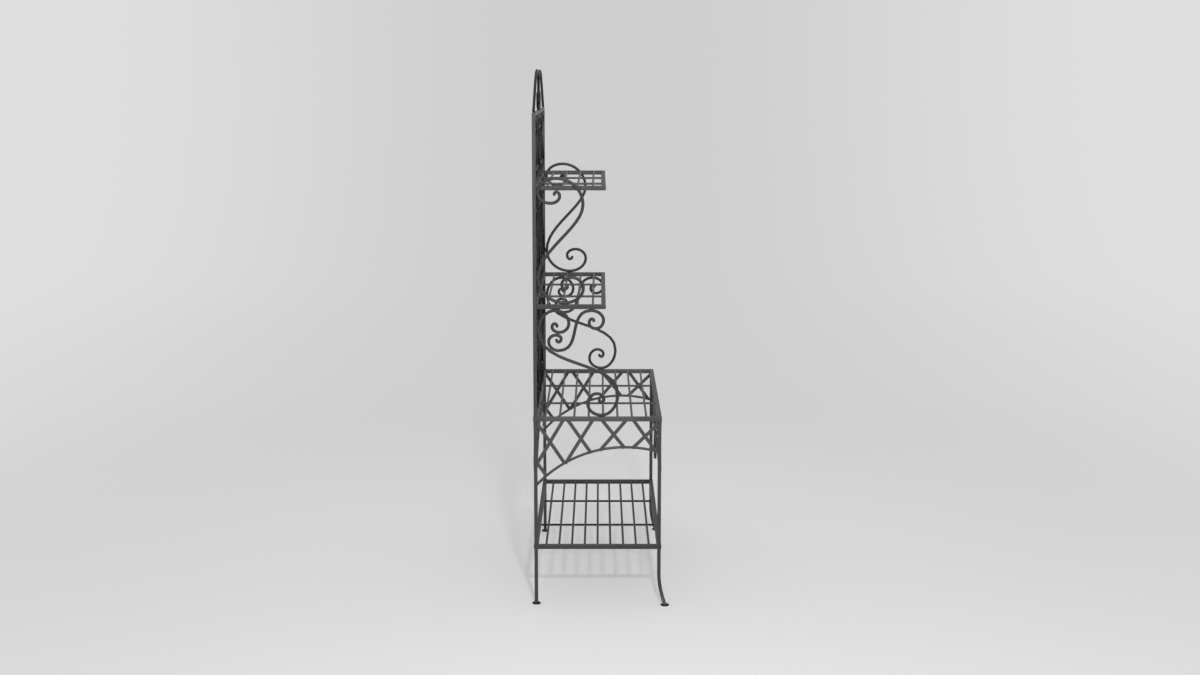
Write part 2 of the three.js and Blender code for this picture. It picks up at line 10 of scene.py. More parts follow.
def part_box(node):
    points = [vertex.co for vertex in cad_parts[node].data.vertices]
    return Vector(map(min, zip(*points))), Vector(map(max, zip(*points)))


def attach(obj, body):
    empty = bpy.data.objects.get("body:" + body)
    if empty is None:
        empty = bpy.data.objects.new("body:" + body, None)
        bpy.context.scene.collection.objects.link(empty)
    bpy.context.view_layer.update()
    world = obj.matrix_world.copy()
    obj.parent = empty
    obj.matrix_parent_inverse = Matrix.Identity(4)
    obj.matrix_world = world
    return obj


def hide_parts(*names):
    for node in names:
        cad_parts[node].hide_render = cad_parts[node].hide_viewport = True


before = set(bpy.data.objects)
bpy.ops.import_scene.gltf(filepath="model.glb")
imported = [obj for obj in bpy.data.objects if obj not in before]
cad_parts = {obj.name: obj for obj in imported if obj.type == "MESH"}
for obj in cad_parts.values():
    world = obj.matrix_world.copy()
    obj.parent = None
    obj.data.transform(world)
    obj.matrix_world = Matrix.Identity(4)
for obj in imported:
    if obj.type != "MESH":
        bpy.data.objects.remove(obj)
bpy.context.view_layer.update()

# Camera
# It looks at the rack's left end from head height, so that the front faces the right edge
# of the picture.
CAMERA_TILT = 8.888
camera = bpy.data.objects.new("camera", bpy.data.cameras.new("camera"))
camera.data.lens = 50
camera.data.sensor_width = 36
camera.location = (-6.283, 0.002, 1.878)
camera.rotation_euler = (math.radians(90 - CAMERA_TILT), 0, math.radians(-90))
bpy.context.scene.collection.objects.link(camera)
bpy.context.scene.camera = camera

# Rear posts and legs
# Half-inch square steel tube with rounded corners, sprayed a satin charcoal after welding.
# The posts are mitred into the top rail, and every other end is cut square and welded.
UP = Vector((0, 0, 1))
RIGHT = Vector((1, 0, 0))
BACK = Vector((0, 1, 0))
TUBE_CORNER = 0.0018
CUT_EDGE = 0.0003
CUT_ANGLE = math.radians(40)
SHARP_ANGLE = math.radians(50)
TUBE_WELD_WIDTH = 0.0026
CLOUD_SIZE = 0.11
GRIT_SIZE = 0.0045
GRIT_DEPTH = 0.00004
PEEL_SIZE = 0.0016
PEEL_DEPTH = 0.00005
charcoal = (0.036, 0.0361, 0.0365, 1)
worn_paint = (0.085, 0.0855, 0.087, 1)
settled_dust = (0.12, 0.1185, 0.115, 1)
thin_paint = (0.020, 0.0201, 0.0205, 1)


class Wire:
    """A shader socket. A sum or product of wires adds the Math nodes that it needs."""

    def __init__(self, tree, socket=None):
        self.tree = tree
        self.socket = socket

    def node(self, kind, sockets, settings=None, output=0):
        """Adds a node, with its settings first and then the values or wires of its sockets."""
        made = self.tree.nodes.new(kind)
        for name, value in (settings or {}).items():
            setattr(made, name, value)
        for name, value in sockets.items():
            if isinstance(value, Wire):
                self.tree.links.new(value.socket, made.inputs[name])
            else:
                made.inputs[name].default_value = value
        return Wire(self.tree, made.outputs[output])

    def math(self, operation, other, turned=False):
        """A Math node on this wire and another wire or number, in that order unless turned."""
        pair = {0: other, 1: self} if turned else {0: self, 1: other}
        return self.node("ShaderNodeMath", pair, {"operation": operation})

    def __add__(self, other):
        return self.math("ADD", other)

    def __sub__(self, other):
        return self.math("SUBTRACT", other)

    def __rsub__(self, other):
        return self.math("SUBTRACT", other, turned=True)

    def __mul__(self, other):
        return self.math("MULTIPLY", other)

    __radd__ = __add__
    __rmul__ = __mul__

    def between(self, low, high):
        """0 below low, 1 above high, and smooth in between."""
        sockets = {"Value": self, "From Min": low, "From Max": high}
        return self.node("ShaderNodeMapRange", sockets, {"interpolation_type": "SMOOTHSTEP"})

    def over(self, under, colour):
        """Lays a colour over another one where this mask is 1."""
        return self.node("ShaderNodeMix", {0: self, 6: under, 7: colour}, {"data_type": "RGBA"}, 2)

    def noise(self, place, size, detail):
        """Smooth noise whose lumps are about size metres apart."""
        return self.node("ShaderNodeTexNoise", {"Vector": place, "Scale": 1 / size, "Detail": detail})


def sprayed_paint(name, colour, roughness, dent_size, dent_depth, shine=0.38):
    """Satin paint: cloudy where it went on thinner, rubbed on edges, dusty on what faces up."""
    material = bpy.data.materials.new(name)
    material.use_nodes = True
    tree = material.node_tree
    shader = Wire(tree, tree.nodes["Principled BSDF"])
    place = shader.node("ShaderNodeTexCoord", {}, output="Object")
    coat = shader.noise(place, CLOUD_SIZE, 4)
    dents = shader.noise(place, dent_size, 1)
    peel = shader.noise(place, PEEL_SIZE, 2)
    grit = shader.noise(place, GRIT_SIZE, 3)

    # How much shows of the thin coat, of bare wear on edges and of dust, from 0 to 1
    thin = coat.between(0.52, 0.72) * 0.55
    edge = shader.node("ShaderNodeNewGeometry", {}, output="Pointiness").between(0.53, 0.62)
    rubbed = edge * grit.between(0.45, 0.6) * 0.5
    normal = shader.node("ShaderNodeNewGeometry", {}, output="Normal")
    facing_up = shader.node("ShaderNodeSeparateXYZ", {0: normal}, output="Z").between(0.55, 1)
    dust = facing_up * (0.12 + coat * 0.16) * (0.6 + grit * 0.8)

    tone = thin.over(colour, thin_paint)
    tone = rubbed.over(tone, worn_paint)
    tone = dust.over(tone, settled_dust)
    height = dents * dent_depth + peel * PEEL_DEPTH + grit * GRIT_DEPTH
    bump = shader.node("ShaderNodeBump", {"Height": height, "Strength": 0.9, "Distance": 1})
    gloss = roughness + (coat - 0.5) * 0.16 + (grit - 0.5) * 0.12 + dust * 0.5 - rubbed * 0.12
    shader.socket.inputs["Specular IOR Level"].default_value = shine
    for socket, wire in (("Base Color", tone), ("Roughness", gloss), ("Normal", bump)):
        tree.links.new(wire.socket, shader.socket.inputs[socket])
    return material


tube_paint = sprayed_paint(
    "satin_paint_on_tube", charcoal, roughness=0.46, dent_size=0.045, dent_depth=0.0006
)


def add_piece(name, shape, material, *nodes):
    """Makes a finished shape a piece of the rack, in place of the solids that it stands for."""
    mesh = bpy.data.meshes.new(name)
    shape.to_mesh(mesh)
    shape.free()
    mesh.materials.append(material)
    mesh.shade_smooth()
    mesh.set_sharp_from_angle(angle=SHARP_ANGLE)
    piece = bpy.data.objects.new(name, mesh)
    bpy.context.scene.collection.objects.link(piece)
    flat_sides = piece.modifiers.new("flat sides", "WEIGHTED_NORMAL")
    flat_sides.keep_sharp = True
    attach(piece, "root")
    if nodes:
        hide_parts(*nodes)


def middle_of(node):
    """The middle of a node's box."""
    low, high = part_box(node)
    return (low + high) / 2


def close_holes(shape):
    """Fills the open ends of a shape and points its faces outwards."""
    bmesh.ops.holes_fill(shape, edges=[edge for edge in shape.edges if edge.is_boundary])
    bmesh.ops.recalc_face_normals(shape, faces=shape.faces)


def close_and_ease(shape, ease=CUT_EDGE, segments=1):
    """Closes the open ends of a cut shape and eases its cut edges."""
    close_holes(shape)
    cut = [edge for edge in shape.edges if edge.calc_face_angle(0) > CUT_ANGLE]
    bmesh.ops.bevel(
        shape, geom=cut, offset=ease, segments=segments, profile=0.5, affect="EDGES", material=-1
    )


def trim(shape, at, keep_towards):
    """Cuts the shape at a plane and keeps the part on the side that keep_towards points to."""
    everything = shape.verts[:] + shape.edges[:] + shape.faces[:]
    bmesh.ops.bisect_plane(
        shape, geom=everything, plane_co=at, plane_no=keep_towards, clear_inner=True
    )


def upright_block(wide, deep, length):
    """A block that stands on the origin, for a straight tube or bar."""
    shape = bmesh.new()
    bmesh.ops.create_cube(shape, size=1)
    bmesh.ops.scale(shape, vec=(wide, deep, length), verts=shape.verts)
    bmesh.ops.translate(shape, vec=(0, 0, length / 2), verts=shape.verts)
    return shape


def place_along(shape, start, along, outward):
    """Turns a shape that is made along Z from the origin, with its outer side towards X."""
    turn = Matrix((outward, along.cross(outward), along)).transposed().to_4x4()
    bmesh.ops.transform(shape, matrix=Matrix.Translation(start) @ turn, verts=shape.verts)


def square_tube(node, along, outward, mitred_start=False, mitred_end=False, paint=tube_paint):
    """A straight tube in the place of a node. Its outward side is the long side of a mitre."""
    low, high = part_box(node)
    length = abs((high - low).dot(along))
    size = abs((high - low).dot(outward))
    start = middle_of(node) - along * length / 2
    end = start + along * length
    shape = upright_block(size, size, length)
    corners = [edge for edge in shape.edges if edge.verts[0].co.z != edge.verts[1].co.z]
    bmesh.ops.bevel(
        shape, geom=corners, offset=TUBE_CORNER, segments=4, profile=0.5, affect="EDGES",
        material=-1,
    )
    place_along(shape, start, along, outward)
    for at, inward, mitred in ((start, along, mitred_start), (end, -along, mitred_end)):
        if mitred:
            trim(shape, at + inward * size / 2, inward + outward)
    close_and_ease(shape)
    add_piece(f"tube_{node}", shape, paint, node)


def weld(shape, middle, along, length, width):
    """Lays one short weld bead in the corner between two pieces."""
    turn = along.to_track_quat("Z", "Y").to_matrix().to_4x4()
    size = Matrix.Diagonal((width / 2, width / 2, length / 2, 1))
    place = Matrix.Translation(middle) @ turn @ size
    bmesh.ops.create_uvsphere(shape, u_segments=8, v_segments=6, radius=1, matrix=place)


def weld_all_round(shape, middle, level, half):
    """Welds the four sides of an upright tube to the level face that it meets."""
    for side in (RIGHT, -RIGHT, BACK, -BACK):
        at = Vector((middle.x, middle.y, level)) + side * half
        weld(shape, at, side.cross(UP), 2 * half, TUBE_WELD_WIDTH)


leg_welds = bmesh.new()
for end, sign in (("left", -1), ("right", 1)):
    for name in ("rear_post", "middle_leg_rear", "middle_leg_front", "lower_leg_rear"):
        node = f"{name}_{end}"
        is_post = name == "rear_post"
        square_tube(node, UP, RIGHT * sign, mitred_end=is_post)
        low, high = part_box(node)
        half = (high.x - low.x) / 2
        weld_all_round(leg_welds, middle_of(node), low.z, half)
        if not is_post:
            weld_all_round(leg_welds, middle_of(node), high.z, half)

# Top rail
# The same square tube as the two rear posts, mitred to their tops and welded. Its paint is
# lighter, as on the table's rails: painted light for the brighter light that falls on them.
# A lighter copy of the charcoal paint, as painted light on the top rail and the table's rails.
painted_light_charcoal = (0.066, 0.0662, 0.067, 1)
painted_light_tube_paint = sprayed_paint(
    "lighter_paint_as_painted_light", painted_light_charcoal, roughness=0.46, dent_size=0.045,
    dent_depth=0.0006,
)
square_tube("top_rail", RIGHT, UP, mitred_start=True, mitred_end=True, paint=painted_light_tube_paint)

# Front lower legs
# Each is straight under the shelf and then swept outwards and forwards on one arc, bent
# from the same tube as the other legs. The arc is cut off level on the foot pad.
SPLAY_OUTWARD = 0.022
SPLAY_FORWARD = 0.0215
SPLAY_START = 0.115
SPLAY_STEPS = 14
SWEEP_PAST_PAD = 0.03
for end, sign in (("left", -1), ("right", 1)):
    low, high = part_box(f"lower_leg_front_{end}")
    leg_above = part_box(f"middle_leg_front_{end}")
    size = leg_above[1].x - leg_above[0].x
    middle = middle_of(f"middle_leg_front_{end}")
    shift = math.hypot(SPLAY_OUTWARD, SPLAY_FORWARD)
    drop = SPLAY_START - low.z
    radius = (drop ** 2 + shift ** 2) / (2 * shift)
    sweep = math.asin(drop / radius) + SWEEP_PAST_PAD
    outward = Vector((sign * SPLAY_OUTWARD, -SPLAY_FORWARD, 0)).normalized()
    bend = Vector((middle.x, middle.y, SPLAY_START))
    leg = bmesh.new()
    bmesh.ops.create_grid(leg, x_segments=1, y_segments=1, size=size / 2)
    bmesh.ops.bevel(
        leg, geom=leg.verts[:], offset=TUBE_CORNER, segments=4, profile=0.5,
        affect="VERTICES", material=-1,
    )
    bmesh.ops.translate(leg, vec=bend, verts=leg.verts)
    section = leg.faces[:]
    raised = bmesh.ops.extrude_face_region(leg, geom=section, use_keep_orig=True)["geom"]
    top = [part for part in raised if isinstance(part, bmesh.types.BMVert)]
    bmesh.ops.translate(leg, vec=(0, 0, high.z - SPLAY_START), verts=top)
    bmesh.ops.spin(
        leg, geom=section, cent=bend + outward * radius, axis=outward.cross(UP), dvec=(0, 0, 0),
        angle=sweep, steps=SPLAY_STEPS, use_duplicate=False,
    )
    bmesh.ops.delete(leg, geom=[face for face in leg.faces if len(face.verts) > 4], context="FACES")
    trim(leg, Vector((0, 0, low.z)), UP)
    close_and_ease(leg)
    add_piece(f"swept_leg_front_{end}", leg, tube_paint, f"lower_leg_front_{end}")
    weld_all_round(leg_welds, middle, high.z, size / 2)
    weld_all_round(leg_welds, middle_of(f"foot_pad_front_{end}"), low.z, size / 2)

weld_paint = sprayed_paint(
    "paint_over_welds", charcoal, roughness=0.5, dent_size=0.002, dent_depth=0.0012
)
add_piece("welds_at_legs", leg_welds, weld_paint)

# Foot pads
# A pressed steel disc under each leg, painted black, with rounded rims above and below. The
# leg is welded to the middle of its top.
PAD_EDGE = 0.0014
pad_black = (0.004, 0.004, 0.0042, 1)
pad_paint = sprayed_paint(
    "black_paint_on_pads", pad_black, roughness=0.6, dent_size=0.01, dent_depth=0.0003, shine=0.12
)
for place in ("rear_left", "rear_right", "front_left", "front_right"):
    node = f"foot_pad_{place}"
    low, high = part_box(node)
    pad = bmesh.new()
    bmesh.ops.create_cone(
        pad, cap_ends=True, cap_tris=False, segments=40, radius1=(high.x - low.x) / 2,
        radius2=(high.x - low.x) / 2, depth=high.z - low.z,
        matrix=Matrix.Translation(middle_of(node)),
    )
    rims = [edge for edge in pad.edges if edge.verts[0].co.z == edge.verts[1].co.z]
    bmesh.ops.bevel(
        pad, geom=rims, offset=PAD_EDGE, segments=4, profile=0.5, affect="EDGES", material=-1
    )
    add_piece(f"disc_{node}", pad, pad_paint, node)

# Shelf rails
# Four rails of 16 mm square tube round each deep shelf, mitred all round, with the legs
# welded above and below. The upper shelves are mitred in front and welded to the posts
# behind, and their rear rails are of post tube.
RAIL_WELD_LENGTH = 0.013
RAIL_WELD_WIDTH = 0.003
rail_welds = bmesh.new()
# The table's rails take the lighter paint, which is painted light.
for shelf, deep, paint in (
    ("low_shelf", True, tube_paint), ("table", True, painted_light_tube_paint),
    ("middle_shelf", False, tube_paint), ("top_shelf", False, tube_paint),
):
    square_tube(f"{shelf}_front_rail", RIGHT, -BACK, mitred_start=True, mitred_end=True, paint=paint)
    square_tube(f"{shelf}_rear_rail", RIGHT, BACK, mitred_start=deep, mitred_end=deep, paint=paint)
    for end, sign in (("left", -1), ("right", 1)):
        rail = f"{shelf}_end_rail_{end}"
        square_tube(rail, BACK, RIGHT * sign, mitred_start=True, mitred_end=deep, paint=paint)
        if not deep:
            low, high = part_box(rail)
            for level in (low.z, high.z):
                at = Vector((middle_of(rail).x, high.y, level))
                weld(rail_welds, at, RIGHT, RAIL_WELD_LENGTH, RAIL_WELD_WIDTH)
add_piece("welds_at_upper_rails", rail_welds, weld_paint)

# Shelf grids
# Rods of 8 mm along the width, level with the tops of the rails, on two cross rods. On the low
# shelf they are near black, painted shade from the table above. Each crossing has a spot weld,
# and each rod's end a small bead at its rail.
GRID_ROD = 0.008
CROSS_ROD_SHARE = 0.372
ROD_END_WELD_LENGTH = 0.0105
CROSS_ROD_END_WELD_LENGTH = 0.010
ROD_END_WELD_WIDTH = 0.0035
SPOT_WELD_LENGTH = 0.007
SPOT_WELD_WIDTH = 0.0042
# A near-black tone that stands in for shade: painted shade on the low shelf's rods, the crown and the
# back panel.
painted_shade_black = (0.005, 0.005, 0.0052, 1)
rod_paint = sprayed_paint(
    "satin_paint_on_rod", charcoal, roughness=0.42, dent_size=0.02, dent_depth=0.0005
)
painted_shade_rod_paint = sprayed_paint(
    "painted_shade_on_rod", painted_shade_black, roughness=0.42, dent_size=0.02, dent_depth=0.0005, shine=0.1
)


def straight_rod(shape, start, end, diameter):
    """A straight round rod."""
    turn = (end - start).to_track_quat("Z", "Y").to_matrix().to_4x4()
    bmesh.ops.create_cone(
        shape, cap_ends=True, cap_tris=False, segments=16, radius1=diameter / 2,
        radius2=diameter / 2, depth=(end - start).length,
        matrix=Matrix.Translation((start + end) / 2) @ turn,
    )


for shelf, front_line, pitch, count, paint in (
    ("low_shelf", -0.17325, 0.046, 9, painted_shade_rod_paint), ("table", -0.16285, 0.0513, 8, rod_paint),
    ("middle_shelf", 0.02715, 0.0532, 4, rod_paint), ("top_shelf", 0.02715, 0.0532, 4, rod_paint),
):
    low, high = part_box(f"{shelf}_grid")
    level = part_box(f"{shelf}_front_rail")[1].z - GRID_ROD / 2
    under = level - GRID_ROD
    lines = [front_line + pitch * number for number in range(count)]
    grid = bmesh.new()
    spots = bmesh.new()
    for line in lines:
        straight_rod(grid, Vector((low.x, line, level)), Vector((high.x, line, level)), GRID_ROD)
        for across in (low.x, high.x):
            at = Vector((across, line, level))
            weld(spots, at, BACK, ROD_END_WELD_LENGTH, ROD_END_WELD_WIDTH)
    for across in (low.x * CROSS_ROD_SHARE, high.x * CROSS_ROD_SHARE):
        ends = [Vector((across, back, under)) for back in (low.y, high.y)]
        straight_rod(grid, *ends, GRID_ROD)
        for at in ends:
            weld(spots, at, RIGHT, CROSS_ROD_END_WELD_LENGTH, ROD_END_WELD_WIDTH)
        for line in lines:
            at = Vector((across, line, (level + under) / 2))
            weld(spots, at, RIGHT, SPOT_WELD_LENGTH, SPOT_WELD_WIDTH)
    add_piece(f"rods_{shelf}_grid", grid, paint, f"{shelf}_grid")
    add_piece(f"spot_welds_{shelf}_grid", spots, weld_paint)

# End scrolls
# Forged from 11 mm round rod: an S between the upper shelves, and under it a large S with
# a small one in its hollow. Each end is curled into a tight hook and drawn in.
SCROLL_ROD = 0.0111
SCROLL_WELD_LENGTH = 0.016
POST_WELD_WIDTH = 0.007
SHELF_WELD_WIDTH = 0.006
QUARTER_PULL = 0.5523
scroll_paint = sprayed_paint(
    "satin_paint_on_scrolls", charcoal, roughness=0.38, dent_size=0.02, dent_depth=0.0005,
    shine=0.22,
)
upper_scroll = (
    ("V", 0.365, 0.872), ("H", 0.415, 0.891), ("V", 0.484, 0.857), ("H", 0.285, 0.801),
    ("V", 0, 0.889), ("H", 0.411, 1), ("V", 0.994, 0.789),
    ("V", 0, 0.198, 0.315, 0.388), ("H", 0.588, 0), ("V", 1, 0.12),
    ("H", 0.739, 0.205), ("V", 0.523, 0.15), ("H", 0.588, 0.112), ("V", 0.65, 0.131),
)
large_scroll = (
    ("V", 0.234, 0.851), ("H", 0.206, 0.875), ("V", 0.173, 0.844), ("H", 0.266, 0.793),
    ("V", 0.383, 0.879), ("H", 0.213, 1), ("V", 0, 0.811),
    ("V", 1, 0.203, 0.6, 0.543), ("H", 0.793, 0), ("V", 0.62, 0.107),
    ("H", 0.736, 0.207), ("V", 0.824, 0.155), ("H", 0.793, 0.126), ("V", 0.766, 0.145),
)
small_scroll = (
    ("V", 0.145, 0.264), ("H", 0.182, 0.214), ("V", 0.228, 0.298), ("H", 0.127, 0.387),
    ("V", 0, 0.222), ("H", 0.179, 0),
    ("H", 0.775, 1, 0.745, 0.745), ("V", 1, 0.755), ("H", 0.858, 0.552),
    ("V", 0.738, 0.691), ("H", 0.788, 0.792), ("V", 0.822, 0.747),
)
drawn_in_steps = ((0.3, 0.93), (0.62, 0.74), (0.85, 0.48), (0.95, 0.2))


def scroll_knots(turns, area):
    """The Bezier knots of a scroll, each with its two handles, in the scroll's own plane.

    A turn is level at H and upright at V, at a share across and a share up. Two more values
    are the pulls of the stretch before it, which otherwise is a quarter of an ellipse.
    """
    across_from, across_to, low, high = area
    knots = []
    for kind, across, up, *pulls in turns:
        at = Vector((across_from + (across_to - across_from) * across, low + (high - low) * up))
        axis = Vector((0, 1)) if kind == "V" else Vector((1, 0))
        before = at.copy()
        if knots:
            last = knots[-1]
            leave, arrive = pulls or (QUARTER_PULL, QUARTER_PULL)
            reach = at - last["at"]
            last["after"] = last["at"] + last["axis"] * reach.dot(last["axis"]) * leave
            before = at - axis * reach.dot(axis) * arrive
        knots.append({"at": at, "axis": axis, "before": before, "after": at.copy()})
    return knots


def round_curve(diameter):
    """An empty curve for a round rod."""
    curve = bpy.data.curves.new("rod", "CURVE")
    curve.dimensions = "3D"
    curve.bevel_depth = diameter / 2
    curve.bevel_resolution = 6
    return curve


def shape_of(curve):
    """Turns a curve into a closed shape with flat ends."""
    rod = bpy.data.objects.new("rod", curve)
    bpy.context.scene.collection.objects.link(rod)
    bpy.context.view_layer.update()
    finished = rod.evaluated_get(bpy.context.evaluated_depsgraph_get())
    mesh = bpy.data.meshes.new_from_object(finished)
    shape = bmesh.new()
    shape.from_mesh(mesh)
    bpy.data.objects.remove(rod)
    bpy.data.curves.remove(curve)
    bpy.data.meshes.remove(mesh)
    bmesh.ops.remove_doubles(shape, verts=shape.verts, dist=1e-7)
    close_holes(shape)
    return shape


def draw_in(shape, cap, diameter):
    """Draws a rod's flat end out into a blunt round tip, ring by ring."""
    middle = cap.calc_center_median()
    normal = cap.normal.copy()
    wide = 1
    for reach, share in drawn_in_steps:
        grown = bmesh.ops.extrude_face_region(shape, geom=[cap])["geom"]
        ring = [part for part in grown if isinstance(part, bmesh.types.BMVert)]
        shape.faces.remove(cap)
        cap = [part for part in grown if isinstance(part, bmesh.types.BMFace)][0]
        centre = middle + normal * diameter / 2 * reach
        bmesh.ops.translate(shape, vec=centre - cap.calc_center_median(), verts=ring)
        bmesh.ops.scale(
            shape, vec=Vector((1, 1, 1)) * share / wide, verts=ring,
            space=Matrix.Translation(-centre),
        )
        wide = share


def bent_rod(knots, diameter, stand):
    """A round rod along the knots, stood up in its plane, with flat ends."""
    curve = round_curve(diameter)
    spline = curve.splines.new("BEZIER")
    spline.bezier_points.add(len(knots) - 1)
    for point, knot in zip(spline.bezier_points, knots):
        point.handle_left_type = "FREE"
        point.handle_right_type = "FREE"
        point.co = stand(knot["at"])
        point.handle_left = stand(knot["before"])
        point.handle_right = stand(knot["after"])
    return shape_of(curve)


def forged_rod(knots, diameter, stand):
    """A bent rod with both ends drawn in."""
    shape = bent_rod(knots, diameter, stand)
    for cap in [face for face in shape.faces if len(face.verts) > 4]:
        draw_in(shape, cap, diameter)
    return shape


def inside(node, diameter, across_axis):
    """Where a rod's middle line can run in its node's box: across from, across to, low, high."""
    low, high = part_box(node)
    return (
        low[across_axis] + diameter / 2, high[across_axis] - diameter / 2,
        low.z + diameter / 2, high.z - diameter / 2,
    )


scroll_welds = bmesh.new()
for end in ("left", "right"):
    for name, turns, on_post, welded_levels in (
        ("upper_end_scroll", upper_scroll, True, (0,)),
        ("large_end_scroll", large_scroll, True, (0, 1)),
        ("small_end_scroll", small_scroll, False, (1,)),
    ):
        node = f"{name}_{end}"
        low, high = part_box(node)
        middle = middle_of(node).x
        front, back, bottom, top = inside(node, SCROLL_ROD, 1)
        knots = scroll_knots(turns, (back, front, bottom, top))
        rod = forged_rod(knots, SCROLL_ROD, lambda at: (middle, at.x, at.y))
        add_piece(f"forged_{node}", rod, scroll_paint, node)
        for knot, turn in zip(knots, turns):
            kind, across, up = turn[:3]
            if kind == "V" and across == 0 and on_post:
                at = Vector((middle, high.y, knot["at"].y))
                weld(scroll_welds, at, UP, SCROLL_WELD_LENGTH, POST_WELD_WIDTH)
            if kind == "H" and up in welded_levels:
                at = Vector((middle, knot["at"].x, high.z if up else low.z))
                weld(scroll_welds, at, BACK, SCROLL_WELD_LENGTH, SHELF_WELD_WIDTH)
add_piece("welds_at_end_scrolls", scroll_welds, scroll_paint)

# Crown
# Two mirrored rods of 10 mm, near black as painted shade, rise in an S from the post tops, meet
# over the middle of the top rail and curl back down to it. They are welded where they touch.
CROWN_ROD = 0.010
CROWN_FOOT_WELD_LENGTH = 0.014
CROWN_SEAM_LENGTH = 0.04
CROWN_WELD_WIDTH = 0.006
CURL_FOOT = 0.108
SEAM_HEIGHT = 0.62
crown_rise = ((1, 0), (0.708, 0.542), (0.522, 1))
crown_curl = (
    ("H", 0.313, 1), ("V", 0, 0.792), ("V", 0, 0.449, 0.33, 0.33), ("H", CURL_FOOT, 0),
    ("V", 0.194, 0.234), ("H", 0.127, 0.427), ("V", 0.0853, 0.298), ("H", 0.113, 0.2),
    ("V", 0.14, 0.27),
)
crown_welds = bmesh.new()
for end, sign in (("left", -1), ("right", 1)):
    node = f"crown_scroll_{end}"
    foot_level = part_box(node)[0].z
    middle = middle_of(node).y
    inner, outer, bottom, top = inside(node, CROWN_ROD, 0)
    if sign < 0:
        inner, outer = outer, inner
    foot, foot_handle, top_handle = [
        Vector((inner + (outer - inner) * across, bottom + (top - bottom) * up))
        for across, up in crown_rise
    ]
    knots = scroll_knots(crown_curl, (inner, outer, bottom, top))
    knots[0]["before"] = top_handle
    knots.insert(0, {"at": foot, "before": foot, "after": foot_handle})
    rod = forged_rod(knots, CROWN_ROD, lambda at: (at.x, middle, at.y))
    add_piece(f"forged_{node}", rod, painted_shade_rod_paint, node)
    for across in (outer, inner + (outer - inner) * CURL_FOOT):
        at = Vector((across, middle, foot_level))
        weld(crown_welds, at, RIGHT, CROWN_FOOT_WELD_LENGTH, CROWN_WELD_WIDTH)
seam = Vector((0, middle, bottom + (top - bottom) * SEAM_HEIGHT))
weld(crown_welds, seam, UP, CROWN_SEAM_LENGTH, CROWN_WELD_WIDTH)
add_piece("welds_at_crown", crown_welds, painted_shade_rod_paint)

# Back panel
# Four bays of S scrolls in thinner rod, near black as painted shade, stand between the posts on
# each level, parted by upright spindles. Every other scroll is turned round, and all are welded.
BACK_ROD = 0.0095
BACK_WELD_LENGTH = 0.014
BACK_WELD_WIDTH = 0.0045
SPINDLE_WELD_HALF = BACK_ROD / 2.3
SPINDLE_PRESS = 0.0004
# The back panel's near-black paint is painted shade.
painted_shade_back_paint = sprayed_paint(
    "painted_shade_on_back_panel", painted_shade_black, roughness=0.34, dent_size=0.012, dent_depth=0.0014,
    shine=0.05,
)
back_welds = bmesh.new()
for row, turns in (("low", large_scroll), ("middle", upper_scroll), ("top", upper_scroll)):
    for bay in range(1, 5):
        node = f"back_scroll_{row}_{bay}"
        low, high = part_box(node)
        middle = middle_of(node).y
        left, right, bottom, top = inside(node, BACK_ROD, 0)
        if bay < 4:
            foot = Vector((right, middle, low.z))
            spindle = bmesh.new()
            straight_rod(spindle, foot, Vector((right, middle, high.z)), BACK_ROD)
            for level in (low.z, high.z):
                weld_all_round(back_welds, foot, level, SPINDLE_WELD_HALF)
            add_piece(f"spindle_{row}_{bay}", spindle, painted_shade_back_paint)
            right -= BACK_ROD - SPINDLE_PRESS
        if bay % 2 == 0:
            left, right = right, left
        knots = scroll_knots(turns, (left, right, bottom, top))
        rod = forged_rod(knots, BACK_ROD, lambda at: (at.x, middle, at.y))
        add_piece(f"forged_{node}", rod, painted_shade_back_paint, node)
        for knot, turn in zip(knots, turns):
            kind, across, up = turn[:3]
            if kind == "V" and across in (0, 1):
                outward = math.copysign(BACK_ROD / 2, (across - 0.5) * (right - left))
                at = Vector((left + (right - left) * across + outward, middle, knot["at"].y))
                weld(back_welds, at, UP, BACK_WELD_LENGTH, BACK_WELD_WIDTH)
            if kind == "H" and up in (0, 1):
                at = Vector((knot["at"].x, middle, high.z if up else low.z))
                weld(back_welds, at, RIGHT, BACK_WELD_LENGTH, BACK_WELD_WIDTH)
add_piece("welds_at_back_panel", back_welds, painted_shade_back_paint)

# Aprons under the table
# Flat bars of 12.5 x 3 mm cross as a lattice between the table's rail and an arch of
# round rod. The bars lie on the outer side of the arch and are welded to it.
ARCH_ROD = 0.0095
ARCH_STEPS = 48
ARCH_PAST_LEG = 0.006
BAR_WIDTH = 0.0125
BAR_THICKNESS = 0.003
BAR_EDGE = 0.0004
BAR_SINK = 0.0004
BAR_OVERHANG = 0.003
CROSSED_BAR_STEP = 0.00035
BAR_WELD_LENGTH = 0.013
BAR_WELD_WIDTH = 0.0045
BAR_WELD_DEPTH = ARCH_ROD / 2.6
BAR_MEETING_SHARE = 0.325
# The flat bars' paint is lighter than the rest: painted light for the light their flat faces catch.
painted_light_bar_charcoal = (0.052, 0.0522, 0.0528, 1)
painted_light_bar_paint = sprayed_paint(
    "satin_paint_on_flat_bar_with_painted_light", painted_light_bar_charcoal, roughness=0.46, dent_size=0.03, dent_depth=0.0004
)
table_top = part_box("table_front_rail")[1].z
rail_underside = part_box("table_front_rail")[0].z
rail_middle = (table_top + rail_underside) / 2


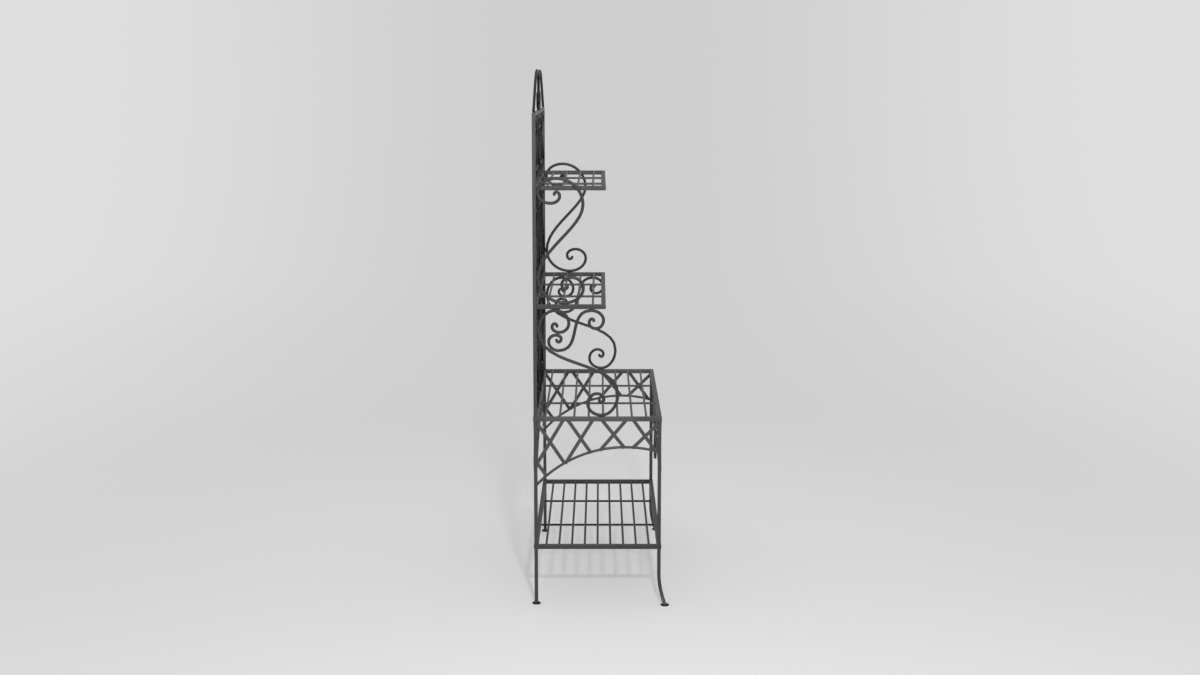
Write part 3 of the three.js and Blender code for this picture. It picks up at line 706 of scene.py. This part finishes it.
def add_apron(node, arch, bars, meetings, outward, stand):
    """An arch and its lattice. Shares run from the leg at 0 to the other leg at 1.

    The arch has its start, end, middle, peak and two radii. A bar runs from its share on the
    rail to its share on the arch. At a meeting, two bars meet part of the way up a leg.
    """
    start, end, arch_middle, peak, radius_across, radius_up = arch

    def on_rail(share):
        return Vector((start + (end - start) * share, rail_middle))

    def on_arch(share):
        across = start + (end - start) * share
        rise = radius_up * math.sqrt(1 - ((across - arch_middle) / radius_across) ** 2)
        return Vector((across, peak - radius_up + rise))

    whole = 1 + 2 * ARCH_PAST_LEG
    shares = [whole * step / ARCH_STEPS - ARCH_PAST_LEG for step in range(ARCH_STEPS + 1)]
    curve = round_curve(ARCH_ROD)
    spline = curve.splines.new("POLY")
    spline.points.add(ARCH_STEPS)
    for point, share in zip(spline.points, shares):
        point.co = (*stand(on_arch(share), 0), 1)
    shape = shape_of(curve)

    runs = [(on_rail(top), on_arch(foot)) for top, foot in bars]
    for leg, top, foot in meetings:
        meeting = on_arch(leg)
        meeting.y += (rail_middle - meeting.y) * BAR_MEETING_SHARE
        runs.append((on_rail(top), meeting))
        runs.append((meeting, on_arch(foot)))
    welds = bmesh.new()
    lengthwise = Vector(stand(Vector((1, 0)), 0)) - Vector(stand(Vector((0, 0)), 0))
    for first, last in runs:
        falling = (last - first).x > 0
        depth = ARCH_ROD / 2 - BAR_SINK + BAR_THICKNESS / 2 - (CROSSED_BAR_STEP if falling else 0)
        at = Vector(stand(first, depth * outward))
        along = (Vector(stand(last, depth * outward)) - at).normalized()
        thick = Vector(stand(first, 1)) - Vector(stand(first, 0))
        bar = upright_block(BAR_WIDTH, BAR_THICKNESS, (last - first).length + BAR_OVERHANG)
        place_along(bar, at, along, thick.cross(along))
        trim(bar, Vector((0, 0, rail_underside)), -UP)
        trim(bar, lengthwise * min(start, end), lengthwise)
        trim(bar, lengthwise * max(start, end), -lengthwise)
        close_and_ease(bar, BAR_EDGE, 2)
        part = bpy.data.meshes.new("bar")
        bar.to_mesh(part)
        bar.free()
        shape.from_mesh(part)
        bpy.data.meshes.remove(part)
        bead = Vector(stand(last, outward * BAR_WELD_DEPTH))
        weld(welds, bead, lengthwise, BAR_WELD_LENGTH, BAR_WELD_WIDTH)
    add_piece(f"lattice_{node}", shape, painted_light_bar_paint, node)
    add_piece(f"welds_{node}", welds, weld_paint)


END_ARCH_FORWARD = 0.098
END_ARCH_DROP = 0.1105
END_ARCH_RADIUS = 0.43
leg_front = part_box("middle_leg_front_left")[1].y
leg_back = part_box("middle_leg_rear_left")[0].y
frame_middle = (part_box("table_front_rail")[0].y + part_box("table_rear_rail")[1].y) / 2
end_arch = (
    leg_back, leg_front, frame_middle - END_ARCH_FORWARD, table_top - END_ARCH_DROP,
    END_ARCH_RADIUS, END_ARCH_RADIUS,
)
end_bars = (
    (-0.022, 0.227), (0.249, 0.443), (0.464, 0.236), (0.531, 0.722), (0.744, 0.523),
    (0.792, 0.985), (1.042, 0.794),
)
end_meetings = ((0, 0.22, 0.0758),)
to_arch = ARCH_ROD / 2 - BAR_SINK + BAR_THICKNESS
for end, sign in (("left", -1), ("right", 1)):
    node = f"end_arch_and_lattice_{end}"
    outer = sign * max(abs(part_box(node)[0].x), abs(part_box(node)[1].x))
    end_plane = outer - sign * to_arch
    add_apron(
        node, end_arch, end_bars, end_meetings, sign,
        lambda at, depth: (end_plane + depth, at.x, at.y),
    )

LONG_BAYS = 9
FRONT_ARCH_DROP = 0.151
FRONT_ARCH_HALF_LENGTH = 0.5
FRONT_ARCH_RISE = 0.0715
REAR_ARCH_DROP = 0.099
REAR_ARCH_RADIUS = 0.849
REAR_RETURN = 0.034
leg_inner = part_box("middle_leg_front_right")[0].x
long_bars = [
    ((bay + top) / LONG_BAYS, (bay + foot) / LONG_BAYS)
    for bay in range(LONG_BAYS)
    for top, foot in ((0, 0.9), (1, 0.1))
]
front_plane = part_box("front_arch_and_lattice")[0].y + to_arch
front_arch = (
    -leg_inner, leg_inner, 0, table_top - FRONT_ARCH_DROP, FRONT_ARCH_HALF_LENGTH,
    FRONT_ARCH_RISE,
)
add_apron(
    "front_arch_and_lattice", front_arch, long_bars, (), -1,
    lambda at, depth: (at.x, front_plane + depth, at.y),
)
rear_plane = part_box("rear_arch_and_lattice")[1].y - to_arch
rear_arch = (
    -leg_inner, leg_inner, 0, table_top - REAR_ARCH_DROP, REAR_ARCH_RADIUS, REAR_ARCH_RADIUS
)
rear_bars = long_bars[:1] + long_bars[2:-2] + long_bars[-1:]
rear_meetings = (
    (0, 1 / LONG_BAYS, REAR_RETURN), (1, 1 - 1 / LONG_BAYS, 1 - REAR_RETURN),
)
add_apron(
    "rear_arch_and_lattice", rear_arch, rear_bars, rear_meetings, 1,
    lambda at, depth: (at.x, rear_plane + depth, at.y),
)

# Centre drop
# One rod of 10 mm bent into a hanging loop with a narrow neck, welded under the crown of
# the front arch.
DROP_ROD = 0.010
DROP_NECK = 0.125
DROP_PRESS = 0.002
drop_turns = (
    ("V", 0.5 - DROP_NECK, 1), ("V", 0, 0.36, 0.45, 0.45), ("H", 0.5, 0),
    ("V", 1, 0.36), ("V", 0.5 + DROP_NECK, 1, 0.45, 0.45),
)
drop_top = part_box("front_centre_drop")[1].z + DROP_PRESS
drop_middle = middle_of("front_centre_drop").y
left, right, bottom, top = inside("front_centre_drop", DROP_ROD, 0)
drop_knots = scroll_knots(drop_turns, (left, right, bottom, drop_top))
drop = bent_rod(drop_knots, DROP_ROD, lambda at: (at.x, drop_middle, at.y))
add_piece("forged_front_centre_drop", drop, scroll_paint, "front_centre_drop")

# Floor and backdrop
# One pale sheet that curves up behind the rack, a small lamp before its left end for the
# shadow, a soft one above it for the tops, and an even pale light all round.
SHEET_HALF = 11
SHEET_RISE = 8
SHEET_BEND = 2.5
WORLD_LEVEL = 0.64
SEEN_LEVEL = 0.73
PAINTED_SHADE_LEVEL = 0.62
NEAR_SHARE = 0.15


def seen(wire):
    """1 for what the camera sees, straight, mirrored or through glass, and 0 for plain light."""
    return (
        wire.node("ShaderNodeLightPath", {}, output="Is Camera Ray")
        + wire.node("ShaderNodeLightPath", {}, output="Is Glossy Ray")
        + wire.node("ShaderNodeLightPath", {}, output="Is Transmission Ray")
    )


def add_lamp(name, size, watts, place, aim):
    """An area lamp that is turned to a point of the rack and doesn't show in the picture."""
    lamp = bpy.data.objects.new(name, bpy.data.lights.new(name, "AREA"))
    lamp.data.size = size
    lamp.data.energy = watts
    lamp.location = place
    lamp.rotation_euler = (aim - lamp.location).to_track_quat("-Z", "Y").to_euler()
    lamp.visible_camera = False
    bpy.context.scene.collection.objects.link(lamp)
    return lamp


sheet = bmesh.new()
bmesh.ops.create_grid(sheet, x_segments=1, y_segments=1, size=SHEET_HALF)
far_edge = [edge for edge in sheet.edges if all(vert.co.x > 0 for vert in edge.verts)]
raised = bmesh.ops.extrude_edge_only(sheet, edges=far_edge)["geom"]
raised = [part for part in raised if isinstance(part, bmesh.types.BMVert)]
bmesh.ops.translate(sheet, vec=(0, 0, SHEET_RISE), verts=raised)
bmesh.ops.bevel(
    sheet, geom=far_edge, offset=SHEET_BEND, segments=24, profile=0.5, affect="EDGES",
    material=-1,
)
bmesh.ops.recalc_face_normals(sheet, faces=sheet.faces)
backdrop_mesh = bpy.data.meshes.new("backdrop")
sheet.to_mesh(backdrop_mesh)
sheet.free()
backdrop_mesh.shade_smooth()
backdrop = bpy.data.objects.new("backdrop", backdrop_mesh)
bpy.context.scene.collection.objects.link(backdrop)

paper = bpy.data.materials.new("pale_paper")
paper.use_nodes = True
paper_shader = paper.node_tree.nodes["Principled BSDF"]
paper_shader.inputs["Base Color"].default_value = (0.88, 0.88, 0.88, 1)
paper_shader.inputs["Roughness"].default_value = 0.9
paper_shader.inputs["Specular IOR Level"].default_value = 0.1
lit_sheet = Wire(paper.node_tree, paper_shader.outputs["BSDF"])
place = lit_sheet.node("ShaderNodeTexCoord", {}, output="Object")
from_rack = lit_sheet.node("ShaderNodeVectorMath", {0: place}, {"operation": "LENGTH"}, "Value")
aside = lit_sheet.node("ShaderNodeSeparateXYZ", {0: place}, output="Y").math("ABSOLUTE", 0)
behind = lit_sheet.node("ShaderNodeSeparateXYZ", {0: place}, output="X")
# Painted shade: straight behind the rack the sheet shows a darker grey.
painted_shade_behind_rack = (1 - aside.between(0.4, 5.4)) * behind.between(-4, 3)
seen_grey = (SEEN_LEVEL, SEEN_LEVEL, SEEN_LEVEL, 1)
painted_shade_grey = (PAINTED_SHADE_LEVEL, PAINTED_SHADE_LEVEL, PAINTED_SHADE_LEVEL, 1)
far_grey = painted_shade_behind_rack.over(seen_grey, painted_shade_grey)
far_sheet = lit_sheet.node("ShaderNodeEmission", {"Color": far_grey, "Strength": 1})
fade = NEAR_SHARE + from_rack.between(1, 4.5) * (1 - NEAR_SHARE)
sheet_share = seen(lit_sheet) * fade
both = lit_sheet.node("ShaderNodeMixShader", {0: sheet_share, 1: lit_sheet, 2: far_sheet})
paper.node_tree.links.new(both.socket, paper.node_tree.nodes["Material Output"].inputs["Surface"])
backdrop_mesh.materials.append(paper)

key_lamp = add_lamp(
    "key_lamp", size=0.28, watts=88, place=(-4.6, -0.37, 2.83), aim=Vector((0, 0, 0.9))
)
key_lamp.data.shape = "DISK"
soft_lamp = add_lamp(
    "soft_lamp", size=1.4, watts=6, place=(-2.6, -0.2, 2.9), aim=Vector((0, 0, 1.9))
)
soft_lamp.data.spread = math.radians(75)

world = bpy.data.worlds.new("studio")
world.use_nodes = True
studio_light = world.node_tree.nodes["Background"]
studio_light.inputs["Color"].default_value = (1, 1, 1, 1)
brightness = seen(Wire(world.node_tree)) * (SEEN_LEVEL - WORLD_LEVEL) + WORLD_LEVEL
world.node_tree.links.new(brightness.socket, studio_light.inputs["Strength"])
bpy.context.scene.world = world

bpy.context.scene.view_settings.view_transform = "Standard"
